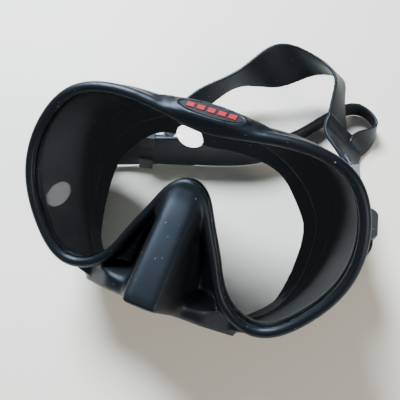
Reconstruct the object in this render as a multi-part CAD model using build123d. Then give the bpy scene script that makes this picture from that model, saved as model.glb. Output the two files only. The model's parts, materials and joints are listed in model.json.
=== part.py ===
from build123d import *
from math import cos, sin, radians, hypot
import os

# A frameless single-lens diving mask with its split strap and two swivel buckles, standing on a table on
# the lower half of its skirt's rear rim, lens up and forward, strap lying on the table behind it.
# Millimetres. +Z up, +X to the viewer's right, +Y away from the viewer, origin at the bottom centre.
# The mask itself is drawn in its own frame: x sideways, y backwards from the glass, z up to the forehead.

# ---- driving dimensions ----
REST_TILT = 52.0            # how far the glass leans back from upright
FOOT = (42.0, -63.0)        # y, z of the skirt's front foot, in the mask's frame
FOOT_LIFT = 4.5             # height of that point over the table
GLASS_T = 4.0               # tempered glass
GLASS_BEVEL = 2.0           # bevelled edge hidden in the bead
BEAD_W = 5.3                # bead round the glass, sideways
BEAD_PROUD = 3.1            # bead in front of the glass
BEAD_BACK = 8.0             # back of the bead
BEAD_ROUND_OUT = 2.9        # rounding of the bead's outer front edge
BEAD_ROUND_IN = 2.2         # and of its inner one
WALL = 2.4                  # skirt wall
LIP_T = 1.6                 # sealing lips
FRONT_WALL = (5.4, 8.0)     # y of the wall that joins the bead to the skirt and the nose pocket
SECOND_LIP = 14.0           # second lip in front of the outer one
STUD = (78.8, 38.0, -4.0)   # buckle stud, where it leaves the skirt's boss
STUD_R = 2.5
CAP_R = 4.6                 # cap that keeps the buckle on the stud
RUN_FIT = 0.05              # radial clearance of the hinges
STRAP_T = 2.0
STRAP_W = 25.0
TAIL_GAP = 0.6              # between the strap and its folded-back tail
ROLLER_R = 2.5
ROLLER_AT = (21.0, 5.4)     # along the buckle and outwards, from the stud
PIN_R = 1.0                 # roller pin
LEVER_AT = (12.5, 9.6)      # hinge of the release lever, along the buckle and outwards
LEVER_PIN_R = 0.8
LEVER_W = 20.0
CHEEK_GAP = 27.0            # between the buckle's side walls
CHEEK_T = 2.2
BUCKLE_END = 30.0           # from the stud to where the strap leaves the buckle
BUCKLE_DROP = {1: 20.0, -1: 40.0}   # how steeply the right and the left buckle point to the table
KEEPER_L = 9.0              # keeper clip, along the strap
KEEPER_T = 1.4

# ---- outlines of the mask, half of each, from the top centre down one side ----
WINDOW = [(0, 38), (21, 40.5), (43.6, 42.2), (62, 36.7), (73, 19), (74, -2), (64, -23.4), (47, -36.6),
          (33, -31), (23, -14), (14.5, 2.8), (7.3, 14.2), (0, 17.4)]
FRONT = [(0, 48), (22, 48.4), (45, 48), (65.6, 40), (79.4, 19.6), (80.2, -4.5), (69, -29), (48, -44),
         (25, -49), (0, -50)]
MIDDLE = [(0, 45), (25, 46), (48, 43), (66, 33), (76.4, 14), (77, -8), (70, -34), (50, -54), (25, -63),
          (0, -65)]
BACK = [(0, 43), (25, 43), (46, 38), (62, 28), (72, 10), (74, -7), (69, -24), (47, -47), (25, -62),
        (0, -68)]
OUTER_LIP = [(0, 30), (22, 31), (36, 27), (48.5, 15), (57, 3), (60, -12), (59, -34), (52, -52), (30, -58),
             (0, -58)]
INNER_LIP = [(0, 40), (20.7, 40), (38, 33.5), (54.8, 19.6), (63, 6), (65.4, -12), (62.5, -35), (52, -48),
             (28, -52), (0, -53)]
FACE_CURVE = [(0, 40), (24, 42), (45, 51), (60, 62.5), (69, 71.5), (80, 81)]   # x, y of the rear rim


def normal_offset(points, grow):
    """Closed loop of half-outline points mirrored and moved outwards by grow."""
    loop = points + [(-x, z) for x, z in reversed(points[1:-1])]
    moved = []
    for i, (x, z) in enumerate(loop):
        ax, az = loop[i - 1]
        bx, bz = loop[(i + 1) % len(loop)]
        length = hypot(bx - ax, bz - az)
        moved.append((x - grow * (bz - az) / length, z + grow * (bx - ax) / length))
    return moved


def outline(points, y, grow=0.0):
    """A closed smooth face across the mask at depth y."""
    loop = [Vector(x, y, z) for x, z in normal_offset(points, grow)]
    return Face(Wire([Edge.make_spline(loop, periodic=True)]))


def slab(points, y0, y1, grow=0.0):
    return extrude(outline(points, y0, grow), amount=y1 - y0, dir=(0, 1, 0))


def face_curve_plate(ahead, thickness):
    """A plate across the whole mask that follows the rear rim's curve; ahead is how far in front of it."""
    front = [(x, y - ahead) for x, y in FACE_CURVE]
    front = [(-x, y) for x, y in reversed(front[1:])] + front
    back = [(x, y + thickness) for x, y in front]
    edges = [Spline([(x, y, -120) for x, y in front]), Spline([(x, y, -120) for x, y in back])]
    edges += [Line((x, y, -120), (x, y + thickness, -120)) for x, y in (front[0], front[-1])]
    return extrude(make_face(edges), amount=240, dir=(0, 0, 1))


def skirt_loft(inset):
    return loft([outline(FRONT, BEAD_BACK - 1, -inset), outline(MIDDLE, 40, -inset),
                 outline(BACK, 84, -inset)])


# ---- nose pocket: level slices of one side, from the ridge round to inside the mask ----
# height, then half width and y of: ridge edge, side, pinch recess, flange, window edge
NOSE_SLICES = [(17.5, (3, 1.6), (4.5, 2.2), (5.5, 3.4), (6.5, 5), (7, 9)),
               (14.6, (3, -2.6), (4.6, -2.2), (5.8, -1), (7, 2), (8, 9)),
               (8, (4.6, -5.6), (7.2, -4.4), (9.2, -2.4), (11, 2), (14, 9)),
               (2, (6.4, -9.4), (8.6, -6.8), (10.2, -3), (12, 1.5), (16, 9)),
               (-5, (6.9, -13.6), (8.6, -9), (10, -1.6), (12.6, 4.2), (20.5, 9)),
               (-16, (7.2, -20.6), (9.2, -13.5), (11.4, -2), (15, 4.8), (28, 9)),
               (-32, (7.6, -30.6), (9.9, -20), (12.8, -4), (17, 4.8), (38, 9)),
               (-36, (7.7, -31), (10, -22), (13.6, -9.4), (24, -6), (40, 9)),
               (-60, (7.7, -31), (10, -22), (13.6, -9.4), (24, -6), (40, 9))]
UNDERSIDE_FROM = (-30.6, -33.0)      # y, z of the nose pocket's lower front edge
UNDERSIDE_TO = (60.0, -73.0)


def nose_slice(height, side, inset):
    ring = [(0.0, side[0][1] + inset)]
    for x, y in side:
        ring.append((x - inset * 0.8, y + inset * 0.75))
    ring.append((max(side[-1][0] - inset, 2), 20))
    other = [(-x, y) for x, y in reversed(ring[1:])]
    return Face(Wire.make_polygon([(x, y, height) for x, y in ring + other]))


def nose_loft(inset):
    top = NOSE_SLICES[0][0] - inset * 1.3
    slices = [nose_slice(min(s[0], top), s[1:], inset) for s in NOSE_SLICES]
    body = loft(slices, ruled=True)
    y0, z0 = UNDERSIDE_FROM
    y1, z1 = UNDERSIDE_TO
    drop = Polyline((0, y0 - 20, z0 + 20 * 0.44 + inset), (0, y1, z1 + inset), (0, y1, -120),
                    (0, y0 - 20, -120), close=True)
    below = extrude(make_face(drop), amount=60, dir=(1, 0, 0), both=True)
    return body - below


# ---- the mask's soft skirt ----
def make_glass(grow=0.0):
    bevel = loft([outline(WINDOW, 0, grow), outline(WINDOW, 1.6, GLASS_BEVEL + grow)])
    return bevel + slab(WINDOW, 1.6, GLASS_T, GLASS_BEVEL + grow)


def make_frame_insert():
    return slab(WINDOW, GLASS_T, 6.4, 3.4) - slab(WINDOW, GLASS_T - 1, 8, 1.0)


def badge_plane():
    return Plane((0, -0.2, 47.9), x_dir=(1, 0, 0), z_dir=(0, -0.62, 0.78))


def make_badge():
    return extrude(badge_plane() * Ellipse(14.6, 3.8), amount=-1.2)


def make_badge_mark(x):
    return badge_plane() * Pos(x, 0, 0.2) * Box(3.4, 3.0, 0.4)


def anchor_plane(side, out=0.0):
    return Plane((side * (STUD[0] + out), STUD[1], STUD[2]), z_dir=(side, 0, 0))


def make_anchor(side):
    disc = extrude(anchor_plane(side, -1.2) * Circle(8.5), amount=1.5)
    return disc - extrude(anchor_plane(side, -1.2) * Circle(STUD_R), amount=2)


def make_stud(side):
    return extrude(anchor_plane(side, -1.2) * Circle(STUD_R), amount=4.7)


def make_stud_cap(side):
    cap = extrude(anchor_plane(side, 3.5) * Circle(CAP_R), amount=1.4)
    return chamfer(cap.edges().group_by(Axis.X)[-1 if side > 0 else 0], 0.5)


def make_bead():
    """The round bead: a ring round the glass with both front edges rounded over."""
    ring = slab(WINDOW, -BEAD_PROUD, BEAD_BACK, BEAD_W) - slab(WINDOW, -10, BEAD_BACK + 1)
    for radius, end in ((BEAD_ROUND_OUT, -1), (BEAD_ROUND_IN, 0)):
        lines = [e for e in ring.edges() if abs(e.bounding_box().max.Y + BEAD_PROUD) < 0.001]
        ring = fillet([sorted(lines, key=lambda e: e.length)[end]], radius)
    return ring


def make_skirt():
    boss = extrude(badge_plane() * Pos(0, 0, -1.2) * Ellipse(30, 6.2), amount=-6)
    boss += extrude(badge_plane() * Pos(0, 0, -0.6) * Ellipse(22, 6), amount=-4)
    boss += extrude(badge_plane() * Ellipse(17, 5.2), amount=0.4)
    boss += extrude(badge_plane() * Ellipse(17, 5.2), amount=-3)
    boss -= extrude(badge_plane() * Ellipse(14.6, 3.8), amount=0.4)
    shell = skirt_loft(0) + nose_loft(0)
    for side in (1, -1):
        shell += extrude(anchor_plane(side, -9) * Circle(11), amount=9)
    shell = shell - skirt_loft(WALL) - nose_loft(WALL) - face_curve_plate(0, 80)
    shell += slab(FRONT, *FRONT_WALL, -0.6) - slab(WINDOW, 0, 10, 1) - nose_loft(WALL)
    within_wall = skirt_loft(WALL / 2)
    outer_lip = within_wall & face_curve_plate(LIP_T, LIP_T)
    second_lip = within_wall & face_curve_plate(SECOND_LIP, LIP_T)
    body = shell + (outer_lip - slab(OUTER_LIP, 20, 100)) + (second_lip - slab(INNER_LIP, 10, 90))
    body = body + boss - slab(WINDOW, -10, BEAD_BACK + 0.5) + make_bead()
    body = body - make_glass() - make_frame_insert() - make_badge()
    for side in (1, -1):
        body -= extrude(anchor_plane(side, -1.2) * Circle(8.5), amount=4)
    return body


# ---- from the mask's frame to the table's: x sideways, y back from the skirt's foot, z up ----
MASK_AT_REST = Pos(0, 0, FOOT_LIFT) * Rot(-REST_TILT, 0, 0) * Pos(0, -FOOT[0], -FOOT[1])


def stud_at_rest(side):
    y, z = STUD[1] - FOOT[0], STUD[2] - FOOT[1]
    c, s = cos(radians(REST_TILT)), sin(radians(REST_TILT))
    return Vector(side * STUD[0], y * c + z * s, z * c - y * s + FOOT_LIFT)


def buckle_plane(side):
    """Buckle frame: x along the strap away from the stud, y across the strap, z outwards."""
    drop = radians(BUCKLE_DROP[side])
    return Plane(stud_at_rest(side), x_dir=(0, cos(drop), -sin(drop)), z_dir=(side, 0, 0))


def across(x, z, radius, length):
    """A rod across the buckle."""
    return Pos(x, 0, z) * Rot(90, 0, 0) * Cylinder(radius, length)


def box_between(x0, x1, y0, y1, z0, z1):
    return Pos((x0 + x1) / 2, (y0 + y1) / 2, (z0 + z1) / 2) * Box(x1 - x0, y1 - y0, z1 - z0)


def make_buckle_body():
    half = CHEEK_GAP / 2
    plate = box_between(-9, 12, -half - CHEEK_T, half + CHEEK_T, 0.7, 3.1)
    body = fillet(plate.edges().filter_by(Axis.Z).group_by(Axis.X)[0], 8)
    for s in (1, -1):
        y0, y1 = sorted((s * half, s * (half + CHEEK_T)))
        cheek = box_between(6, 28, y0, y1, 0.7, 11.9)
        cheek = fillet(cheek.edges().filter_by(Axis.Y).group_by(Axis.Z)[-1], 4)
        body += fillet(cheek.edges().filter_by(Axis.Y).group_by(Axis.X)[-1], 3)
    body -= Cylinder(STUD_R + RUN_FIT, 20)
    body -= across(*ROLLER_AT, PIN_R, 60)
    return body - across(*LEVER_AT, LEVER_PIN_R, 60)


def make_roller():
    return across(*ROLLER_AT, ROLLER_R, CHEEK_GAP - 0.8) - across(*ROLLER_AT, PIN_R + RUN_FIT, 60)


def make_roller_pin():
    return across(*ROLLER_AT, PIN_R, CHEEK_GAP + 2 * CHEEK_T)


def make_lever():
    x, z = LEVER_AT
    arm = box_between(5.5, 31, -LEVER_W / 2, LEVER_W / 2, z + 0.9, z + 2.3)
    arm = fillet(arm.edges().filter_by(Axis.Z), 3)
    arm += across(x, z, 1.9, LEVER_W) + box_between(25, 27, -8, 8, z + 0.78, z + 1.4)
    for rib in (6.6, 8.4, 28.0, 29.4):
        arm += box_between(rib, rib + 0.7, -7, 7, z + 2.2, z + 2.7)
    return arm - across(x, z, LEVER_PIN_R + RUN_FIT, 60)


def make_lever_pin():
    return across(*LEVER_AT, LEVER_PIN_R, CHEEK_GAP + 2 * CHEEK_T)


def make_lever_springs():
    x, z = LEVER_AT
    coils = across(x, z, 2.0, 2.4) - across(x, z, LEVER_PIN_R, 6)
    springs = []
    for y in (11.6, -11.6):
        leg = box_between(x - 6, x, y - 0.4, y + 0.4, z - 2.0, z - 1.2)
        springs.append(Pos(0, y, 0) * coils + leg)
    return springs


# ---- strap: stations of each band on the table, lower or inner edge first, then the other edge ----
def buckle_station(side, x, z):
    plane = buckle_plane(side)
    low, high = (plane.from_local_coords(Vector(x, s * STRAP_W / 2, z)) for s in (-1, 1))
    return (low, high) if low.Z < high.Z else (high, low)


RIGHT_BAND = [((83, 92, 10), (78, 97, 34)), ((86, 109, 4.5), (76, 109, 28)),
              ((86, 125, 1.8), (66, 122, 28)), ((85, 139, 1.2), (54, 136, 28)),
              ((88, 151, 1.2), (54, 147, 31))]
LEFT_BAND = [((-79.4, 71, 6), (-79, 85, 27)), ((-68, 76, 4), (-68, 88, 27)),
             ((-52, 83.5, 3.5), (-50.5, 89, 28)), ((-36, 91, 1), (-37, 93, 28.5)),
             ((-22, 95.5, 1), (-24, 97.5, 28.5))]
LOWER_BAND = [((86.4, 145, 1.2), (74, 143.5, 14)), ((90.6, 155, 1), (79, 155, 15)),
              ((92, 165, 1), (88, 165, 15)), ((87, 177, 1), (82, 173, 15.5)),
              ((77, 181, 1), (71, 176, 16)), ((62, 170, 1), (58, 166, 16)),
              ((47, 150, 1), (45, 147, 17)), ((25, 118, 1), (26, 120, 25)), ((-4, 102, 1), (-3, 104, 29)),
              ((-31, 93, 1.4), (-32, 95, 27.6))]
UPPER_BAND = [((71, 141, 14), (54.6, 139, 28)), ((67, 155, 18), (53, 149, 32)),
              ((61, 169, 25), (52, 158, 36)), ((57, 181, 28), (50, 168, 41)),
              ((42, 187, 24), (37, 180, 42)), ((16, 171, 17), (7, 181, 45)),
              ((-12, 159, 18), (-13, 157, 36)), ((-25, 141, 15), (-33, 138, 30)),
              ((-38, 114, 14), (-42, 113, 29)),
              ((-41, 91.5, 14), (-41, 93, 28))]


def ribbon_frames(stations):
    """Centre, half width, normal and direction of every station."""
    edges = [(Vector(*low), Vector(*high)) for low, high in stations]
    centres = [(low + high) * 0.5 for low, high in edges]
    frames = []
    for i, (low, high) in enumerate(edges):
        along = centres[min(i + 1, len(centres) - 1)] - centres[max(i - 1, 0)]
        half = (high - low) * 0.5
        frames.append((centres[i], half, along.cross(half).normalized(), along.normalized()))
    return frames


def ribbon(stations, thickness, shift=0.0):
    """A flat band: four smooth rails at its corners, ruled faces between them, and two ends."""
    rails = [[], [], [], []]
    for centre, half, normal, _ in ribbon_frames(stations):
        near, far = normal * (shift - thickness / 2), normal * (shift + thickness / 2)
        corners = [centre - half + near, centre + half + near, centre + half + far, centre - half + far]
        for rail, corner in zip(rails, corners):
            rail.append(corner)
    edges = [Edge.make_spline(rail) for rail in rails]
    faces = [Face.make_surface_from_curves(edges[i - 1], edges[i]) for i in range(4)]
    faces += [Face(Wire.make_polygon([rail[end] for rail in rails])) for end in (0, -1)]
    return Solid(Shell(faces))


def as_stations(points):
    return [(Vector(*low), Vector(*high)) for low, high in points]


def tail_stations(side, band, count):
    """The folded-back tail: out of the buckle, then just outside the band."""
    stations = [buckle_station(side, BUCKLE_END - 1, ROLLER_AT[1] + ROLLER_R + 0.3 + STRAP_T / 2)]
    for i, (centre, half, normal, _) in enumerate(ribbon_frames(band)[1:count]):
        out = normal * side * ((STRAP_T + TAIL_GAP) * (1.5 if i == 0 else 1.0))
        half = half * (STRAP_W / 2 / half.length)
        stations.append((centre - half + out, centre + half + out))
    return stations


def strap_turn(side):
    """The strap's turn round the roller, and its two legs inside the buckle."""
    x, z = ROLLER_AT
    inner = ROLLER_R + 0.3
    outer = inner + STRAP_T
    turn = Pos(x, 0, z) * Rot(90, 0, 0) * (Cylinder(outer, STRAP_W) - Cylinder(inner, STRAP_W + 1))
    turn -= box_between(x, x + 20, -20, 20, -10, 30)
    for z0 in (z - outer, z + inner):
        turn += box_between(x, BUCKLE_END, -STRAP_W / 2, STRAP_W / 2, z0, z0 + STRAP_T)
    return buckle_plane(side) * turn


def make_strap():
    leg = ROLLER_AT[1] - ROLLER_R - 0.3 - STRAP_T / 2
    pieces = []
    for side, band, tail in ((1, RIGHT_BAND, 4), (-1, LEFT_BAND, 5)):
        whole = [buckle_station(side, BUCKLE_END - 1, leg)] + as_stations(band)
        pieces += [strap_turn(side), ribbon(whole, STRAP_T + 0.4)]
        pieces.append(ribbon(tail_stations(side, whole, tail), STRAP_T))
    pieces += [ribbon(LOWER_BAND, STRAP_T), ribbon(UPPER_BAND, STRAP_T)]
    strap = pieces[0]
    for piece in pieces[1:]:
        strap += piece
    return strap


def make_keeper(side, band, index):
    """A C-shaped clip round the strap and its tail: plate outside, two tabs inside."""
    centre, half, normal, _ = ribbon_frames(band)[index]
    out = normal * side
    stack = 2 * STRAP_T + TAIL_GAP + 1.4
    plane = Plane(centre + out * (STRAP_T + TAIL_GAP) / 2, x_dir=half.normalized(), z_dir=out)
    wide = half.length + 0.2
    ring = Box(2 * (wide + KEEPER_T), KEEPER_L, stack + 2 * KEEPER_T) - Box(2 * wide, 20, stack)
    ring -= Pos(0, 0, -stack / 2 - KEEPER_T / 2) * Box(2 * wide - 14, 20, 2 * KEEPER_T)
    return plane * ring


# ---- assembly ----
def make_parts():
    mask = {"skirt": make_skirt(), "lens": make_glass(), "frame_insert": make_frame_insert(),
            "badge": make_badge()}
    for i, x in enumerate((-9.5, -4.75, 0, 4.75, 9.5)):
        mask[f"badge_mark_{i + 1}"] = make_badge_mark(x)
    for side, name in ((1, "right"), (-1, "left")):
        mask[f"{name}_buckle_anchor"] = make_anchor(side)
        mask[f"{name}_swivel_stud"] = make_stud(side)
        mask[f"{name}_stud_cap"] = make_stud_cap(side)
    parts = {node: MASK_AT_REST * solid for node, solid in mask.items()}
    for side, name in ((1, "right"), (-1, "left")):
        place = buckle_plane(side)
        parts[f"{name}_buckle_body"] = place * make_buckle_body()
        parts[f"{name}_roller"] = place * make_roller()
        parts[f"{name}_roller_pin"] = place * make_roller_pin()
        parts[f"{name}_release_lever"] = place * make_lever()
        parts[f"{name}_lever_pin"] = place * make_lever_pin()
        for end, spring in zip(("upper", "lower"), make_lever_springs()):
            parts[f"{name}_{end}_spring"] = place * spring
    parts["strap"] = make_strap()
    parts["right_keeper"] = make_keeper(1, RIGHT_BAND, 1)
    parts["left_keeper"] = make_keeper(-1, LEFT_BAND, 2)
    return parts


def main():
    parts = make_parts()
    box = parts["skirt"].bounding_box()
    for solid in parts.values():
        box = box.add(solid.bounding_box())
    to_origin = Pos(-box.center().X, -box.center().Y, -box.min.Z)
    print("table frame to part frame", to_origin.position, "size", box.size)
    os.makedirs("parts", exist_ok=True)
    for node, solid in parts.items():
        export_step(to_origin * solid, f"parts/{node}.step")


main()
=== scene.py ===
import bpy, bmesh, json, math
from mathutils import Vector, Matrix


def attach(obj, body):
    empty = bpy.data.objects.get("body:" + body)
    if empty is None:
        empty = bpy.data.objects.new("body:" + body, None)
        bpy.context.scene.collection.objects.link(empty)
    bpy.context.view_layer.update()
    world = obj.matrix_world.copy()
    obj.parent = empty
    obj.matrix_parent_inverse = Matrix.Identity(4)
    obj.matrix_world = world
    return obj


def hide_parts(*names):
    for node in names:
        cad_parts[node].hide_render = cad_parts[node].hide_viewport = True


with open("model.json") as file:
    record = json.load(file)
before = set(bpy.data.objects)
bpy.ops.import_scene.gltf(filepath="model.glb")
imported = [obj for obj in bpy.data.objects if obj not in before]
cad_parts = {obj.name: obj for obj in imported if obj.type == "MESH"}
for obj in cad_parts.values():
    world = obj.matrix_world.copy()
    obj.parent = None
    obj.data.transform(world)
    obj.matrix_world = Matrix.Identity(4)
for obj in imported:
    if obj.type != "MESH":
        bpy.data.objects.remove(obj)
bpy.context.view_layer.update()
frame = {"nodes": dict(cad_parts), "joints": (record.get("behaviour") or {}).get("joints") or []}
nodes = frame["nodes"]


# ---- the mask's own frame --------------------------------------------------------------------------
# The mask lies back on the lower half of its skirt with the glass facing up and forward. Its own frame
# has x sideways, y backwards from the glass and z up to the forehead, in millimetres.
TILT = math.radians(52)
stud_axis = next(j for j in frame["joints"] if j["name"] == "strap_swing")["pos_m"]
STUD_Y, STUD_Z = 38.0, -4.0
to_row = (Matrix.Translation(Vector(stud_axis)) @ Matrix.Rotation(-TILT, 4, "X")
          @ Matrix.Scale(0.001, 4) @ Matrix.Translation(Vector((0, -STUD_Y, -STUD_Z))))


def at(x, y, z):
    """A point of the mask's frame, in metres in the model's frame."""
    return to_row @ Vector((x, y, z))


# ---- camera ----------------------------------------------------------------------------------------
# It stands above and to the right of the mask, looking down into the glass.
EYE, LOOK, UP = Vector((33.9, -173.8, 46.8)), Vector((-15.8, 96.6, -20.6)), Vector((-32.0, 14.7, 93.6))
eye, aim = at(*EYE), at(*(EYE + LOOK))
over = (at(*(EYE + UP)) - eye).normalized()
back = (eye - aim).normalized()
right = over.cross(back).normalized()
camera = bpy.data.objects.new("camera", bpy.data.cameras.new("camera"))
camera.data.lens, camera.data.sensor_width = 36.7, 36
camera.data.clip_start = 0.01
camera.matrix_world = Matrix.Translation(eye) @ Matrix((right, back.cross(right), back)).transposed().to_4x4()
bpy.context.collection.objects.link(camera)
bpy.context.scene.camera = camera


# ---- floor and light -------------------------------------------------------------------------------
# A plain pale sheet, a large soft window of light high on the left, a weaker warm one on the right, a
# pale sky, and two small lamps that only the glass mirrors into the camera.
class Socket:
    """A shader socket that can be used in Python expressions."""

    def __init__(self, tree, link):
        self.tree, self.link = tree, link

    def node(self, kind, settings=None, inputs=None, out=0):
        """A node of any kind, its settings first, then the values or links of its sockets."""
        made = self.tree.nodes.new(kind)
        for name, value in (settings or {}).items():
            setattr(made, name, value)
        for name, value in (inputs or {}).items():
            if isinstance(value, Socket):
                self.tree.links.new(value.link, made.inputs[name])
            else:
                made.inputs[name].default_value = value
        return Socket(self.tree, made.outputs[out])

    def math(self, operation, *values):
        return self.node("ShaderNodeMath", {"operation": operation}, dict(enumerate(values)))

    def __add__(self, other):
        return self.math("ADD", self, other)

    def __sub__(self, other):
        return self.math("SUBTRACT", self, other)

    def __rsub__(self, other):
        return self.math("SUBTRACT", other, self)

    def __mul__(self, other):
        return self.math("MULTIPLY", self, other)

    def __radd__(self, other):
        return self.math("ADD", other, self)

    def above(self, edge, soft):
        """0 below edge, 1 above it, with a soft step."""
        return self.node("ShaderNodeMapRange", {"interpolation_type": "SMOOTHSTEP"},
                         {"Value": self, "From Min": edge - soft, "From Max": edge + soft})

    def noise(self, scale, detail=3, rough=0.55, out=0):
        return self.node("ShaderNodeTexNoise", None,
                         {"Vector": self, "Scale": scale, "Detail": detail, "Roughness": rough}, out)

    def blend(self, low, high):
        """The colour low where this is 0, high where it is 1."""
        return self.node("ShaderNodeMix", {"data_type": "RGBA"}, {0: self, 6: low, 7: high}, 2)


def new_material(name):
    """An empty material, its surface shader and its Object coordinates."""
    made = bpy.data.materials.new(name)
    made.use_nodes = True
    tree = made.node_tree
    surface = next(n for n in tree.nodes if n.type == "BSDF_PRINCIPLED")
    return made, surface, Socket(tree, tree.nodes.new("ShaderNodeTexCoord").outputs["Object"])


def feed(surface, name, value):
    if isinstance(value, Socket):
        value.tree.links.new(value.link, surface.inputs[name])
    else:
        surface.inputs[name].default_value = value


def bumped(surface, height, strength, distance):
    feed(surface, "Normal", height.node("ShaderNodeBump", None, {"Height": height, "Strength": strength,
                                                                 "Distance": distance}))


floor_paper, floor_shader, where = new_material("floor_paper")
feed(floor_shader, "Base Color", where.noise(6).blend((0.88, 0.82, 0.71, 1), (0.92, 0.87, 0.77, 1)))
feed(floor_shader, "Roughness", 0.6)
floor_mesh = bmesh.new()
bmesh.ops.create_grid(floor_mesh, x_segments=1, y_segments=1, size=3)
floor = bpy.data.objects.new("floor", bpy.data.meshes.new("floor"))
floor_mesh.to_mesh(floor.data)
floor.data.materials.append(floor_paper)
bpy.context.collection.objects.link(floor)


def soft_light(name, place, target, size, power, colour):
    lamp = bpy.data.objects.new(name, bpy.data.lights.new(name, "AREA"))
    lamp.data.shape, lamp.data.size, lamp.data.energy, lamp.data.color = "DISK", size, power, colour
    lamp.location = place
    lamp.rotation_euler = (Vector(target) - Vector(place)).to_track_quat("-Z", "Y").to_euler()
    bpy.context.collection.objects.link(lamp)
    return lamp


soft_light("window", (-0.50, 0.42, 0.80), (0, 0, 0.05), 0.45, 36, (0.80, 0.90, 1.0))
soft_light("fill", (0.75, -0.35, 0.6), (0, 0, 0.05), 0.4, 6, (1.0, 0.92, 0.82))


def glint(name, x, z, distance, size, power, squeeze=1.0):
    """A small bright disk placed so that the glass mirrors it into the camera at x, z on its front."""
    spot, mirror = at(x, 0, z), (at(0, -1, 0) - at(0, 0, 0)).normalized()
    seen = (spot - eye).normalized()
    out = seen - 2 * seen.dot(mirror) * mirror
    lamp = soft_light(name, spot + out * distance, spot, size, power, (1, 1, 1))
    lamp.data.shape, lamp.data.size_y = "ELLIPSE", size * squeeze


glint("upper_glint", -7, 35, 0.55, 0.05, 0.28, 0.7)
glint("side_glint", -61, -10, 0.5, 0.03, 0.007, 1.5)
sky = bpy.data.worlds.new("sky")
sky.use_nodes = True
sky.node_tree.nodes["Background"].inputs["Color"].default_value = (0.80, 0.88, 1.0, 1)
sky.node_tree.nodes["Background"].inputs["Strength"].default_value = 0.14
bpy.context.scene.world = sky


# ---- skirt -----------------------------------------------------------------------------------------
# Black silicone moulded round the glass in one shot: bead, nose pocket, walls and two sealing lips.
# Every moulded edge is rounded; the surface is satin, with a fine grain and a little dust.
SKIN_VOXEL = 0.0006                      # metres
EDGE_ROUNDS, RIDGE_ROUNDS = 22, 90       # smoothing passes on every edge, and more on the nose ridge
RIDGE_STARTS, RIDGE_FADE = 3.4, 3.0      # mm ahead of the glass where the nose ridge begins, and fades in


def finished_copy(node, name):
    """A merged copy of a CAD node as a new piece."""
    mesh = nodes[node].data.copy()
    piece = bpy.data.objects.new(name, mesh)
    bpy.context.collection.objects.link(piece)
    shape = bmesh.new()
    shape.from_mesh(mesh)
    bmesh.ops.remove_doubles(shape, verts=shape.verts, dist=1e-6)
    shape.to_mesh(mesh)
    shape.free()
    mesh.materials.clear()
    return piece


def apply_modifiers(piece):
    graph = bpy.context.evaluated_depsgraph_get()
    mesh = bpy.data.meshes.new_from_object(piece.evaluated_get(graph))
    piece.modifiers.clear()
    piece.data = mesh
    mesh.shade_smooth()
    return piece


def silicone(name, tone, rough, dust, gloss):
    made, surface, where = new_material(name)
    grain = where.noise(2600, 2)
    cloud = where.noise(45, 4)
    specks = where.noise(900, 1, 0.4).above(0.79, 0.02) * dust
    body = cloud.blend(tuple(c * 0.8 for c in tone) + (1,), tuple(c * 1.25 for c in tone) + (1,))
    feed(surface, "Base Color", specks.blend(body, (0.35, 0.36, 0.38, 1)))
    feed(surface, "Roughness", rough + (cloud - 0.5) * 0.16 + specks * 0.3)
    feed(surface, "Specular IOR Level", gloss)
    # Painted highlight colour: the Specular Tint gives every highlight on the silicone a bluish cast that
    # stands in for the cool window light.
    feed(surface, "Specular Tint", (0.64, 0.81, 1.0, 1))
    bumped(surface, grain * 0.6 + cloud * 0.4, 0.16, 0.0002)
    return made


skirt_silicone = silicone("skirt_silicone", (0.0028, 0.0032, 0.004), 0.45, 0.7, 0.32)
skirt = finished_copy("skirt", "skirt_moulding")
remesh = skirt.modifiers.new("skin", "REMESH")
remesh.mode, remesh.voxel_size = "VOXEL", SKIN_VOXEL
apply_modifiers(skirt)
to_mask = to_row.inverted()
ridge = skirt.vertex_groups.new(name="nose_ridge")
for vertex in skirt.data.vertices:
    ahead = -(to_mask @ vertex.co).y - RIDGE_STARTS
    if ahead > 0:
        ridge.add([vertex.index], min(ahead / RIDGE_FADE, 1.0), "REPLACE")
relax = skirt.modifiers.new("relax", "SMOOTH")
relax.factor, relax.iterations = 0.5, EDGE_ROUNDS
round_nose = skirt.modifiers.new("round_nose", "SMOOTH")
round_nose.factor, round_nose.iterations, round_nose.vertex_group = 0.5, RIDGE_ROUNDS, "nose_ridge"
thin = skirt.modifiers.new("thin", "DECIMATE")
thin.ratio = 0.27
apply_modifiers(skirt)
skirt.data.materials.append(skirt_silicone)
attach(skirt, "mask")
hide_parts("skirt")


# ---- glass -----------------------------------------------------------------------------------------
# One flat pane of tempered glass with a bevelled edge, held in the bead's groove. The bevel and the
# rim are dull and dark, as they lie against black silicone.
def paint(node, material):
    mesh = nodes[node].data
    for index in range(max(len(mesh.materials), 1)):
        if index < len(mesh.materials):
            mesh.materials[index] = material
        else:
            mesh.materials.append(material)


glass, surface, where = new_material("tempered_glass")
pane_normal = (at(0, 1, 0) - at(0, 0, 0)).normalized()
surface_normal = where.node("ShaderNodeNewGeometry", out=1)
facing = where.node("ShaderNodeVectorMath", {"operation": "DOT_PRODUCT"},
                    {0: surface_normal, 1: pane_normal}, 1)
edge = 1 - facing.math("ABSOLUTE", facing).above(0.97, 0.02)
feed(surface, "Base Color", edge.blend((0.96, 0.985, 0.975, 1), (0.001, 0.001, 0.001, 1)))
feed(surface, "Transmission Weight", 1.0)
feed(surface, "IOR", 1.5)
feed(surface, "Roughness", where.noise(700, 2).above(0.72, 0.05) * 0.05 + 0.005 + edge * 0.7)
paint("lens", glass)


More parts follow.
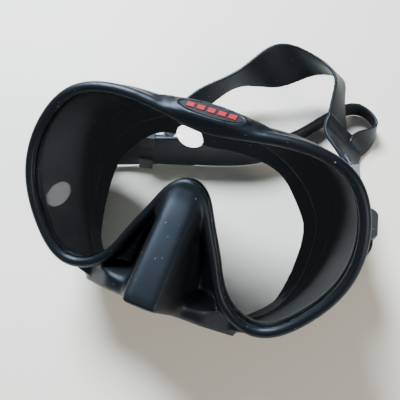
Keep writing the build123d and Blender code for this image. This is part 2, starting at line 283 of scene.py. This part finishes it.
# ---- badge -----------------------------------------------------------------------------------------
# An oval plaque in the top of the bead with five plain red bars in place of lettering.
badge_plastic, surface, where = new_material("badge_plastic")
feed(surface, "Base Color", where.noise(60).blend((0.010, 0.011, 0.014, 1), (0.016, 0.017, 0.02, 1)))
feed(surface, "Roughness", where.noise(300) * 0.2 + 0.3)
bumped(surface, where.noise(3000, 1), 0.1, 0.0001)
paint("badge", badge_plastic)
mark_red, surface, where = new_material("mark_red")
feed(surface, "Base Color", where.noise(900).blend((0.30, 0.010, 0.016, 1), (0.44, 0.022, 0.03, 1)))
feed(surface, "Roughness", 0.4)
for i in range(5):
    paint(f"badge_mark_{i + 1}", mark_red)


# ---- strap -----------------------------------------------------------------------------------------
# Satin silicone strap, split into two bands at the back of the head, both tails folded back.
strap_silicone = silicone("strap_silicone", (0.010, 0.0108, 0.0125), 0.42, 0.5, 0.35)
strap = finished_copy("strap", "strap_moulding")
strap.data.materials.append(strap_silicone)
remesh = strap.modifiers.new("skin", "REMESH")
remesh.mode, remesh.voxel_size = "VOXEL", SKIN_VOXEL
relax = strap.modifiers.new("relax", "SMOOTH")
relax.factor, relax.iterations = 0.5, 3
thin = strap.modifiers.new("thin", "DECIMATE")
thin.ratio = 0.5
apply_modifiers(strap)
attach(strap, "strap")
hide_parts("strap")


# ---- buckles ---------------------------------------------------------------------------------------
# Moulded nylon bodies on steel studs, with steel pins and springs and a smooth roller for the strap.
def moulded(name, tone, rough):
    made, surface, where = new_material(name)
    feed(surface, "Base Color", where.noise(80).blend(tuple(c * 0.8 for c in tone) + (1,),
                                                      tuple(c * 1.2 for c in tone) + (1,)))
    feed(surface, "Roughness", where.noise(400) * 0.15 + rough)
    bumped(surface, where.noise(1800, 2), 0.25, 0.0002)
    return made


buckle_nylon = moulded("buckle_nylon", (0.016, 0.017, 0.019), 0.38)
insert_nylon = moulded("insert_nylon", (0.02, 0.02, 0.022), 0.5)
roller_acetal = moulded("roller_acetal", (0.045, 0.046, 0.05), 0.25)
steel, surface, where = new_material("steel")
feed(surface, "Metallic", 1.0)
feed(surface, "Base Color", where.noise(200).blend((0.55, 0.55, 0.56, 1), (0.68, 0.68, 0.7, 1)))
feed(surface, "Roughness", where.noise(1500) * 0.2 + 0.15)
paint("frame_insert", insert_nylon)
for side in ("right", "left"):
    paint(f"{side}_buckle_anchor", insert_nylon)
    paint(f"{side}_roller", roller_acetal)
    for name in ("stud_cap", "buckle_body", "release_lever", "keeper"):
        paint(f"{side}_{name}", buckle_nylon)
    for name in ("swivel_stud", "roller_pin", "lever_pin", "upper_spring", "lower_spring"):
        paint(f"{side}_{name}", steel)
